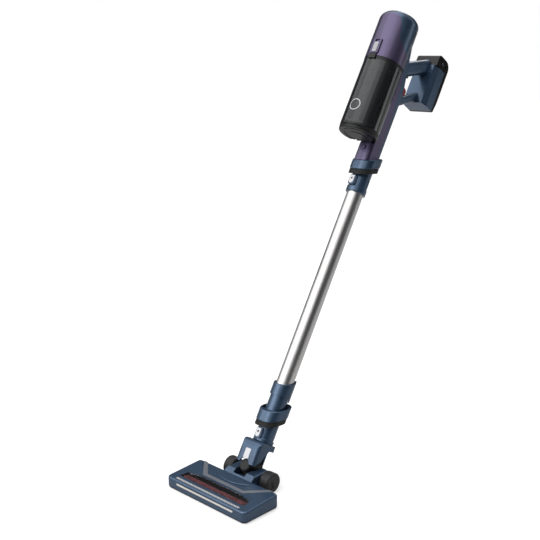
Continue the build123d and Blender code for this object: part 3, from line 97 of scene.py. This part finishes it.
class Finish:
    """A material with one Principled shader. Its constants sit on the shader's own sockets."""

    def __init__(self, name, **constants):
        self.material = bpy.data.materials.new(name)
        self.material.use_nodes = True
        self.tree = self.material.node_tree
        self.shader = self.tree.nodes["Principled BSDF"]
        for socket, value in constants.items():
            self.shader.inputs[socket.replace("_", " ")].default_value = value

    def node(self, kind, settings=None, inputs=None, output=0):
        """Adds a node: its settings first, then the values or links of its sockets. Gives one output."""
        made = self.tree.nodes.new(kind)
        for setting, value in (settings or {}).items():
            if setting == "stops":
                for _ in range(len(value) - 2):
                    made.color_ramp.elements.new(0.5)
                for element, (place, colour) in zip(made.color_ramp.elements, value):
                    element.position = place
                    element.color = colour
            else:
                setattr(made, setting, value)
        for socket, value in (inputs or {}).items():
            if isinstance(value, Wire):
                self.tree.links.new(value.socket, made.inputs[socket])
            else:
                made.inputs[socket].default_value = value
        return Wire(self, made.outputs[output])

    def place(self, turn=(0, 0, 0), stretch=(1, 1, 1), shift=(0, 0, 0)):
        """The piece's own coordinates in metres, shifted, turned and stretched."""
        here = self.node("ShaderNodeTexCoord", output=3)
        return self.node("ShaderNodeMapping", inputs={0: here, 1: shift, 2: turn, 3: stretch})

    def on_stick(self, stretch=(1, 1, 1)):
        """Coordinates turned upright with the stick: x right, y back, z up it."""
        turned = self.place(turn=(LEAN, 0, 0))
        return self.node("ShaderNodeMapping", inputs={0: turned, 3: stretch})

    def parts(self, vector):
        split = self.tree.nodes.new("ShaderNodeSeparateXYZ")
        self.tree.links.new(vector.socket, split.inputs[0])
        return [Wire(self, output) for output in split.outputs]

    def noise(self, vector, scale, detail=2.0):
        return self.node("ShaderNodeTexNoise", {}, {"Vector": vector, "Scale": scale, "Detail": detail})

    def blend(self, share, first, second):
        """A colour from first to second as share goes from 0 to 1."""
        made = self.tree.nodes.new("ShaderNodeMix")
        made.data_type = "RGBA"
        for socket, value in (("Factor", share), ("A", first), ("B", second)):
            slot = [s for s in made.inputs if s.name == socket and s.enabled][0]
            if isinstance(value, Wire):
                self.tree.links.new(value.socket, slot)
            else:
                slot.default_value = value
        return Wire(self, [s for s in made.outputs if s.enabled][0])

    def feed(self, socket, wire):
        self.tree.links.new(wire.socket, self.shader.inputs[socket])
        return self

    def bump(self, height, depth):
        """Raises the surface by a height of 0 to 1 times depth in metres."""
        made = self.node("ShaderNodeBump", {}, {"Strength": 1.0, "Distance": depth, "Height": height})
        return self.feed("Normal", made)


def shade(finish, *names):
    """Gives CAD nodes this finish."""
    for name in names:
        mesh = nodes[name].data
        mesh.materials.clear()
        mesh.materials.append(finish.material)


def rgb(red, green, blue):
    """A colour from 0 to 255 display values."""
    def linear(value):
        value = value / 255
        return value / 12.92 if value <= 0.04045 else ((value + 0.055) / 1.055) ** 2.4
    return (linear(red), linear(green), linear(blue), 1.0)


def flecked_plastic(name, body, fleck, metal=0.6, rough=0.3, coat=0.3, grain=0.00001):
    """Moulded plastic with fine metal flecks in its colour, under a thin clear skin."""
    finish = Finish(name, Metallic=metal, Coat_Weight=coat, Coat_Roughness=0.12)
    here = finish.place()
    flecks = finish.noise(here, 2600.0, 1.0).clear_of(0.45, 0.75)
    clouds = finish.noise(here, 18.0, 3.0)
    finish.feed("Base Color", finish.blend(flecks * 0.55 + clouds * 0.25, body, fleck))
    finish.feed("Roughness", rough + 0.10 * finish.noise(here, 60.0, 4.0) - 0.05)
    finish.bump(finish.noise(here, 1500.0, 2.0), grain)
    return finish


def plain_plastic(name, body, shade_to, rough=0.4, grain=0.00004, grain_scale=1800.0, **constants):
    """Moulded plastic with the fine grain of its tool."""
    finish = Finish(name, **constants)
    here = finish.place()
    finish.feed("Base Color", finish.blend(finish.noise(here, 35.0, 3.0), body, shade_to))
    finish.feed("Roughness", rough + 0.12 * finish.noise(here, 90.0, 4.0) - 0.06)
    finish.bump(finish.noise(here, grain_scale, 3.0), grain)
    return finish


navy = flecked_plastic("navy plastic", rgb(38, 52, 70), rgb(90, 122, 156))
shade(navy, "head_upper_shell")

# Places on the head are (right, back from the axle, height above the floor); places on the stick are
# (right, back, up) from the axle. Both matrices turn millimetres there into the frame's metres.
HEAD = Matrix.Translation((0, AXLE.y, FLOOR)) @ Matrix.Scale(MM, 4)
STICK = Matrix.Translation(AXLE) @ Matrix((RIGHT, BACK, UP_STICK)).transposed().to_4x4() @ Matrix.Scale(MM, 4)


def piece(name, bm, place, finish, body, slot, *stands_for, crease=40.0):
    """Makes an object of a mesh drawn in millimetres, hangs it on the body it rides on, and hides the CAD
    nodes it stands for.
    """
    bmesh.ops.remove_doubles(bm, verts=bm.verts, dist=0.001)
    bmesh.ops.recalc_face_normals(bm, faces=bm.faces)
    bmesh.ops.transform(bm, matrix=place, verts=bm.verts)
    for edge in bm.edges:
        if len(edge.link_faces) == 2:
            edge.smooth = edge.calc_face_angle() < math.radians(crease)
    for face in bm.faces:
        face.smooth = True
    mesh = bpy.data.meshes.new(name)
    bm.to_mesh(mesh)
    bm.free()
    mesh.materials.append(finish.material)
    made = bpy.data.objects.new(name, mesh)
    bpy.context.collection.objects.link(made)
    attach(made, body)
    if stands_for:
        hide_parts(*stands_for)
    return made


def turned(outline, centre, axis=(0, 0, 1), out=(1, 0, 0), steps=96):
    """A closed outline of (radius, height) points turned about an axis through the centre."""
    bm = bmesh.new()
    axis, out, centre = Vector(axis), Vector(out), Vector(centre)
    points = [bm.verts.new(centre + out * radius + axis * height) for radius, height in outline]
    edges = [bm.edges.new((points[i - 1], points[i])) for i in range(len(points))]
    bmesh.ops.spin(
        bm, geom=points + edges, cent=centre, axis=axis, angle=math.tau, steps=steps, use_merge=True
    )
    return bm


def smooth_arc(points, radius):
    """A round ridge laid along points on the head, half sunk in it, for a moulded line."""
    bm = bmesh.new()
    before = None
    for place in range(len(points)):
        here = Vector(points[place])
        ahead = Vector(points[min(place + 1, len(points) - 1)]) - Vector(points[max(place - 1, 0)])
        ring = bmesh.ops.create_circle(bm, segments=10, radius=radius)["verts"]
        turn = ahead.to_track_quat("Z", "Y").to_matrix().to_4x4()
        bmesh.ops.transform(bm, matrix=Matrix.Translation(here) @ turn, verts=ring)
        edges = [edge for edge in bm.edges if all(vert in ring for vert in edge.verts)]
        if before:
            bmesh.ops.bridge_loops(bm, edges=before + edges)
        before = edges
    bmesh.ops.holes_fill(bm, edges=bm.edges, sides=10)
    return bm


# Raised line across the shell in front of the hub, part of the same moulding.
ARC_HALF, ARC_STEP = 50.0, 10
ARC_BACK, ARC_BULGE = -56.0, 15.0
ARC_HEIGHT, ARC_DIP = 32.2, 0.7
arc = []
for right in range(-50, 51, ARC_STEP):
    bow = 1 - (right / ARC_HALF) ** 2
    arc.append((right, ARC_BACK - ARC_BULGE * bow, ARC_HEIGHT - ARC_DIP * bow))
piece("hub_arc", smooth_arc(arc, 1.3), HEAD, navy, "floor_head", "navy")

# Sole: a flat black plate screwed under the shell, with the mouth for the brush and two small rollers that
# keep the front off the floor. Both are moulded, the rollers on their own stub pins.
satin_black = plain_plastic(
    "satin black plastic", rgb(11, 12, 13), rgb(22, 23, 25), rough=0.36, Specular_IOR_Level=0.3
)
shade(satin_black, "sole_plate", "light_board")
rubber = plain_plastic(
    "soft black rubber", rgb(18, 18, 19), rgb(32, 32, 34), rough=0.5, Specular_IOR_Level=0.35
)
shade(rubber, "front_roller_left", "front_roller_right", "drive_belt")
pin_steel = plain_plastic(
    "turned steel", rgb(190, 190, 192), rgb(150, 150, 152), rough=0.25, Metallic=1.0
)
shade(pin_steel, "sole_screws", "roll_bearings")

# Brush roll: a dark tube with a sleeve of dark plush and slanting red bands on it, driven by a belt from a
# small motor that lies behind it. The sleeve stands for the two twisted rows of bristle.
brush_low, brush_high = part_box("brush_roll")
_, roll_y, roll_z = [0.5 * (low + high) for low, high in zip(brush_low, brush_high)]
roll_fabric = Finish("brush tube with red bands")
turned_place = roll_fabric.place(shift=(0, -roll_y, -roll_z))
band_x, band_y, band_z = roll_fabric.parts(turned_place)
band_turn = roll_fabric.node("ShaderNodeMath", {"operation": "ARCTAN2"}, {0: band_z, 1: band_y})
BAND_START, BAND_LEAD, BAND_TURN = 0.044, 0.093, 2.0
band_wave = band_turn - (band_x + BAND_START) * (math.tau / BAND_LEAD) - BAND_TURN
red_band = band_wave.maths("COSINE").clear_of(0.86, 0.90)
pile = roll_fabric.noise(turned_place, 1400.0, 2.0)
dark_pile = roll_fabric.blend(pile, rgb(40, 40, 42), rgb(74, 73, 75))
red_pile = roll_fabric.blend(pile, rgb(120, 18, 24), rgb(186, 48, 52))
roll_fabric.feed("Base Color", roll_fabric.blend(red_band, dark_pile, red_pile))
roll_fabric.feed("Roughness", 0.7 + 0.2 * pile)
roll_fabric.bump(pile, 0.0004)
shade(roll_fabric, "brush_roll")
ROLL_BACK, ROLL_HEIGHT = -106.0, 13.5
PLUSH_IN, PLUSH_OUT, PLUSH_HALF = 8.0, 10.9, 94.0
plush = turned(
    [(PLUSH_IN, -PLUSH_HALF), (PLUSH_OUT, -PLUSH_HALF), (PLUSH_OUT, PLUSH_HALF), (PLUSH_IN, PLUSH_HALF)],
    (0, ROLL_BACK, ROLL_HEIGHT), axis=(1, 0, 0), out=(0, 0, 1), steps=64,
)
piece("brush_plush", plush, HEAD, roll_fabric, "brush", "bristle", "brush_strips")
shade(satin_black, "roll_pulley", "motor_pulley")
shade(pin_steel, "brush_motor")
bristle = plain_plastic(
    "dark bristle", rgb(58, 46, 48), rgb(34, 30, 32), rough=0.8, grain=0.0003, grain_scale=900.0
)
shade(bristle, "brush_strips")

# Window over the brush: smoked clear sheet, let into the top of the shell and held by its edge.
window_clear = Finish("clear window", Transmission_Weight=1.0, IOR=1.3)
window_clear.shader.inputs["Base Color"].default_value = rgb(225, 225, 228)
window_clear.feed("Roughness", 0.05 + 0.04 * window_clear.noise(window_clear.place(), 40.0, 2.0))
shade(window_clear, "brush_window")

# Trim band and front bar: painted plastic strips pressed into grooves in the shell. The bar has slanting
# ribs along it, bumped into it; their light and dark turns are painted highlight and painted shade in its
# colour.
trim_grey = plain_plastic(
    "grey trim paint", rgb(138, 141, 148), rgb(112, 116, 124), rough=0.3, Metallic=0.6
)
shade(trim_grey, "trim_band")
bar_finish = Finish("ribbed bar", Metallic=0.4)
bar_x, bar_y, _ = bar_finish.parts(bar_finish.place())
RIB_PITCH = 0.0042
bar_wave = ((bar_x + bar_y) * (math.tau / RIB_PITCH)).sine()
rib_relief_and_shade = bar_wave.clear_of(-0.5, 0.5)
# Painted highlight and painted shade: the ribs' lit and shaded faces are drawn light and dark in the colour.
bar_finish.feed("Base Color", bar_finish.blend(rib_relief_and_shade, rgb(118, 120, 126), rgb(214, 215, 218)))
bar_finish.feed("Roughness", 0.28 + 0.1 * bar_finish.noise(bar_finish.place(), 300.0, 2.0))
bar_finish.bump(rib_relief_and_shade, 0.0003)
shade(bar_finish, "front_bar")

# Headlamp: a frosted strip across the front edge, with a row of lamps on a board behind it.
lamp = plain_plastic("frosted lamp strip", rgb(214, 208, 200), rgb(198, 194, 186), rough=0.35)
shade(lamp, "light_lens")

# Wheels: black moulded wheels on stepped steel pins, each with a ribbed tread and a three-armed relief on
# its outer face.
tread = Finish("wheel plastic", Specular_IOR_Level=0.35)
_, wheel_y, wheel_z = tread.parts(tread.place(shift=(0, -AXLE.y, -AXLE.z)))
turn = tread.node("ShaderNodeMath", {"operation": "ARCTAN2"}, {0: wheel_z, 1: wheel_y})
TREAD_IN, TREAD_OUT, GROOVES = 0.0202, 0.0212, 40.0
reach = (wheel_y * wheel_y + wheel_z * wheel_z).clear_of(TREAD_IN ** 2, TREAD_OUT ** 2)
groove_relief_and_shade = (turn * GROOVES).sine().clear_of(-0.2, 0.4)
# Painted shade: the tread's grooves are drawn darker than its ridges, over a bump that sinks them.
tread.feed("Base Color", tread.blend(groove_relief_and_shade * reach, rgb(42, 42, 44), rgb(14, 14, 15)))
tread.feed("Roughness", 0.42 + 0.12 * tread.noise(tread.place(), 120.0, 3.0))
tread.bump((1.0 - groove_relief_and_shade * reach) + 0.04 * tread.noise(tread.place(), 1500.0, 2.0), 0.0006)
shade(tread, "wheel_left", "wheel_right")
shade(pin_steel, "axle_pins")

# Elbow and hose: the elbow's drum turns in the yoke and its barrel on the wheel pins. A ribbed rubber hose
# carries the air up through the yoke.
drum_black = plain_plastic("drum black", rgb(8, 8, 9), rgb(14, 14, 15), rough=0.62)
shade(drum_black, "elbow")
shade(rubber, "ribbed_hose")
shade(pin_steel, "steering_pin")

# Yoke and neck: blue-grey mouldings round the hose, with a printed plate on the front of the yoke.
shade(navy, "yoke", "neck_tube")
white_print = plain_plastic("white label plastic", rgb(206, 206, 208), rgb(190, 190, 194))
shade(white_print, "yoke_plate")

# Release buttons: white shields that press in to free the wand and the neck, each with a black dot.
shade(white_print, "upper_release_button", "lower_release_button")
ink = plain_plastic("black ink", rgb(22, 22, 24), rgb(34, 34, 36))
DOT_RADIUS, DOT_THICK, DOT_SUNK = 2.6, 0.25, 0.1


def dot(name, front, up, body):
    """A round print on the front of a button."""
    bm = bmesh.new()
    bmesh.ops.create_circle(bm, cap_ends=True, segments=28, radius=DOT_RADIUS)
    lifted = bmesh.ops.extrude_face_region(bm, geom=list(bm.faces))["geom"]
    top = [made for made in lifted if isinstance(made, bmesh.types.BMVert)]
    bmesh.ops.translate(bm, vec=(0, 0, DOT_THICK), verts=top)
    forward = Matrix.Rotation(math.radians(90), 3, "X")
    bmesh.ops.rotate(bm, cent=(0, 0, 0), matrix=forward, verts=bm.verts)
    bmesh.ops.translate(bm, vec=(0, front + DOT_SUNK, up), verts=bm.verts)
    piece(name, bm, STICK, ink, body, "black_satin")


dot("lower_button_dot", -28.5, 91.5, "lower_button")
dot("upper_button_dot", -31.5, 697.5, "upper_button")

# Wand: a drawn metal tube, polished along its length, between moulded sleeves that plug into the neck and
# the handheld unit.
steel = Finish("polished tube", Metallic=1.0, Anisotropic=0.5)
lines = steel.on_stick(stretch=(900.0, 900.0, 6.0))
streak = steel.noise(lines, 1.0, 3.0)
steel.feed("Base Color", steel.blend(streak, rgb(186, 184, 182), rgb(214, 213, 212)))
steel.feed("Roughness", 0.27 + 0.10 * streak)
steel.bump(streak, 0.000004)
shade(steel, "wand_tube")
shade(navy, "wand_lower_sleeve", "wand_lower_collar", "wand_end_ring", "wand_upper_sleeve", "inlet_collar")

# Grip rings round both joints: black rings with a diamond pattern cut in them, for the fingers.
knurl = Finish("knurled black", Specular_IOR_Level=0.3)
across_x, across_y, up_z = knurl.parts(knurl.on_stick())
KNURL_PITCH = 0.0032
around = (across_x + across_y) * (math.tau / KNURL_PITCH)
upward = up_z * (math.tau / KNURL_PITCH)
diamond_relief_and_shade = ((around + upward).sine() * (around - upward).sine()).clear_of(-0.35, 0.35)
# Painted shade and painted highlight: the cuts between the diamonds are drawn darker and their tops lighter,
# over a bump for the cut.
knurl.feed("Base Color", knurl.blend(diamond_relief_and_shade, rgb(9, 9, 10), rgb(30, 31, 33)))
knurl.feed("Roughness", 0.38 + 0.1 * knurl.noise(knurl.place(), 120.0, 3.0))
knurl.bump(diamond_relief_and_shade, 0.0005)
shade(knurl, "wand_collar_ring", "inlet_collar_ring")

# Motor housing and spine: the violet front moulding and the blue-grey rear moulding meet on a curved line
# down the side. Both have metal flecks under a clear skin.
violet = flecked_plastic(
    "violet plastic", rgb(68, 61, 87), rgb(102, 93, 125), metal=0.7, rough=0.34
)
shade(violet, "front_housing", "lid_release_button")
shade(navy, "rear_housing")
shade(pin_steel, "suction_motor")
shade(satin_black, "impeller")
felt = plain_plastic(
    "filter felt", rgb(200, 200, 196), rgb(160, 160, 158), rough=0.9, grain=0.0002
)
shade(felt, "exhaust_filter")

# Bin release: a silver slider with cross ribs, in the raised violet track on the front of the motor.
silver = plain_plastic(
    "silver slider", rgb(170, 170, 172), rgb(140, 140, 144), rough=0.34, Metallic=0.6
)
shade(silver, "bin_release_slider")

# Dust bin cup: smoked clear plastic, 2 mm thick, pressed between its black top ring and base.
smoke = Finish("smoked clear cup", Transmission_Weight=0.9, IOR=1.49)
smoke.shader.inputs["Base Color"].default_value = rgb(92, 95, 99)
smoke.feed("Roughness", 0.03 + 0.03 * smoke.noise(smoke.place(), 30.0, 2.0))
BIN_BACK = -65.0
CUP_IN, CUP_OUT, CUP_LOW, CUP_HIGH = 44.5, 46.5, 801.0, 957.4
cup = turned(
    [(CUP_IN, CUP_LOW), (CUP_OUT, CUP_LOW), (CUP_OUT, CUP_HIGH), (CUP_IN, CUP_HIGH)],
    (0, BIN_BACK, 0), steps=160,
)
piece("bin_cup", cup, STICK, smoke, "dust_bin", "black_gloss", "dust_bin")
shade(smoke, "dust_bin")
shade(satin_black, "bin_top_ring", "bin_base", "bin_lid")
shade(pin_steel, "lid_pin")

# Cyclone: a ribbed grey cone and shroud that hang in the cup, with a felt filter above them.
cyclone = plain_plastic("cyclone plastic", rgb(96, 99, 104), rgb(70, 73, 78), rough=0.35)
shade(cyclone, "cyclone_cone", "cyclone_shroud")
shade(felt, "pre_filter")

# White ring printed on the front of the cup: a flat ring first, then wrapped round the cup's wall.
RING_IN, RING_OUT, RING_THICK = 12.2, 13.6, 0.4
RING_FRONT, RING_UP, WRAP_RADIUS = 111.6, 842.0, 46.55
ring = turned(
    [(RING_IN, -RING_THICK), (RING_OUT, -RING_THICK), (RING_OUT, 0.0), (RING_IN, 0.0)],
    (0, -RING_FRONT, RING_UP), axis=(0, 1, 0), steps=64,
)
for vert in ring.verts:
    depth = vert.co.y + RING_FRONT
    vert.co.y = BIN_BACK - math.sqrt(WRAP_RADIUS ** 2 - vert.co.x ** 2) + depth
piece("cup_mark", ring, STICK, white_print, "dust_bin", "white_label")

# Handle: a round-edged arm for the hand and a thinner brace below it. Both run from the spine to the
# battery holder and close the loop around the fingers.
shade(navy, "handle_grip", "handle_brace", "battery_holder")

# Trigger and boost button: glossy red, and black, both in reach of the first finger.
red = plain_plastic(
    "red trigger", rgb(150, 10, 26), rgb(118, 5, 18), rough=0.16, grain=0.000004, Coat_Weight=0.5
)
shade(red, "trigger")
gloss_black = plain_plastic(
    "gloss black plastic", rgb(7, 7, 8), rgb(13, 13, 14),
    rough=0.18, grain=0.000003, Specular_IOR_Level=0.32,
)
shade(gloss_black, "boost_button")

# Battery: a glossy black pack that slides in from behind. Its six cells stand in two rows inside.
shade(gloss_black, "battery_pack", "battery_latch")
cell_wrap = plain_plastic("cell wrap", rgb(60, 120, 110), rgb(44, 96, 88), rough=0.35)
shade(cell_wrap, "battery_cells")
MARK_IN, MARK_OUT, MARK_SUNK, MARK_PROUD = 2.6, 3.3, 0.15, 0.2
MARK_PLACE = (32.0, 103.0, 1066.0)
icon = turned(
    [(MARK_IN, -MARK_SUNK), (MARK_OUT, -MARK_SUNK), (MARK_OUT, MARK_PROUD), (MARK_IN, MARK_PROUD)],
    MARK_PLACE, axis=(1, 0, 0), out=(0, 0, 1), steps=40,
)
piece("battery_mark", icon, STICK, trim_grey, "battery", "pale_grey")

# Floor, backdrop, light and camera: a pale floor that runs off to a white ground, and soft studio light.
# The floor is darker for light that reaches the machine than for the camera, so it adds little glare.
FLOOR_HALF, FLOOR_BACK = 14.0, -0.4
floor_bm = bmesh.new()
bmesh.ops.create_grid(floor_bm, x_segments=1, y_segments=1, size=FLOOR_HALF)
bmesh.ops.translate(floor_bm, vec=(0, FLOOR_BACK, FLOOR), verts=floor_bm.verts)
floor_mesh = bpy.data.meshes.new("floor")
floor_bm.to_mesh(floor_mesh)
floor_bm.free()
floor = bpy.data.objects.new("floor", floor_mesh)
bpy.context.collection.objects.link(floor)
floor_finish = Finish("floor", Roughness=0.9, Emission_Strength=0.52)
seen = floor_finish.node("ShaderNodeLightPath")
floor_finish.feed("Base Color", floor_finish.blend(seen, (0.42, 0.42, 0.42, 1), (0.55, 0.55, 0.55, 1)))
floor_finish.feed("Emission Color", floor_finish.blend(seen, (0.1, 0.1, 0.1, 1), (1, 1, 1, 1)))
floor_finish.shader.inputs["Specular IOR Level"].default_value = 0.1
floor_mesh.materials.append(floor_finish.material)

world = bpy.data.worlds.new("studio")
bpy.context.scene.world = world
world.use_nodes = True
tree = world.node_tree
background = tree.nodes["Background"]
coordinates = tree.nodes.new("ShaderNodeTexCoord")
split = tree.nodes.new("ShaderNodeSeparateXYZ")
tree.links.new(coordinates.outputs["Generated"], split.inputs[0])
ramp = tree.nodes.new("ShaderNodeValToRGB")
ramp.color_ramp.elements[0].position = 0.45
ramp.color_ramp.elements[0].color = (0.035, 0.038, 0.042, 1)
ramp.color_ramp.elements[1].position = 0.9
ramp.color_ramp.elements[1].color = (0.8, 0.8, 0.8, 1)
tree.links.new(split.outputs[2], ramp.inputs[0])
path = tree.nodes.new("ShaderNodeLightPath")
choose = tree.nodes.new("ShaderNodeMix")
choose.data_type = "RGBA"
tree.links.new(path.outputs["Is Camera Ray"], choose.inputs[0])
tree.links.new(ramp.outputs[0], choose.inputs[6])
choose.inputs[7].default_value = (1, 1, 1, 1)
tree.links.new(choose.outputs[2], background.inputs[0])
background.inputs[1].default_value = 1.0

MIDDLE = Vector((0, -0.35, -0.35))


def softbox(name, azimuth, elevation, distance, width, height, watts):
    """A soft light that looks at the middle of the machine. Its angles are degrees, its sizes metres."""
    light = bpy.data.lights.new(name, "AREA")
    light.shape = "RECTANGLE"
    light.size = width
    light.size_y = height
    light.energy = watts
    box = bpy.data.objects.new(name, light)
    bpy.context.collection.objects.link(box)
    a, e = math.radians(azimuth), math.radians(elevation)
    aim = Vector((math.cos(e) * math.cos(a), math.cos(e) * math.sin(a), math.sin(e)))
    box.location = MIDDLE + distance * aim
    box.rotation_euler = (MIDDLE - box.location).to_track_quat("-Z", "Y").to_euler()


softbox("front softbox", -110, 30, 2.2, 1.9, 1.8, 26)
softbox("side softbox", 48, 22, 2.4, 0.6, 2.0, 5)
softbox("top softbox", -110, 78, 2.6, 2.4, 2.4, 14)
softbox("back rim softbox", 110, 30, 2.4, 0.5, 2.0, 8)
sun = bpy.data.lights.new("overhead", "SUN")
sun.energy = 2.2
sun.angle = math.radians(110)
overhead = bpy.data.objects.new("overhead", sun)
bpy.context.collection.objects.link(overhead)
overhead.rotation_euler = (math.radians(28), math.radians(-18), 0)

camera_data = bpy.data.cameras.new("camera")
camera_data.lens = 59.47
camera_data.sensor_width = 36.0
camera_data.clip_end = 40.0
camera = bpy.data.objects.new("camera", camera_data)
bpy.context.collection.objects.link(camera)
camera.location = (1.2630, -1.8267, 0.0376)
look_at = Vector((-0.0724, -0.4288, -0.4347))
camera.rotation_mode = "QUATERNION"
camera.rotation_quaternion = (look_at - camera.location).to_track_quat("-Z", "Y")
bpy.context.scene.camera = camera
bpy.context.scene.view_settings.view_transform = "Standard"
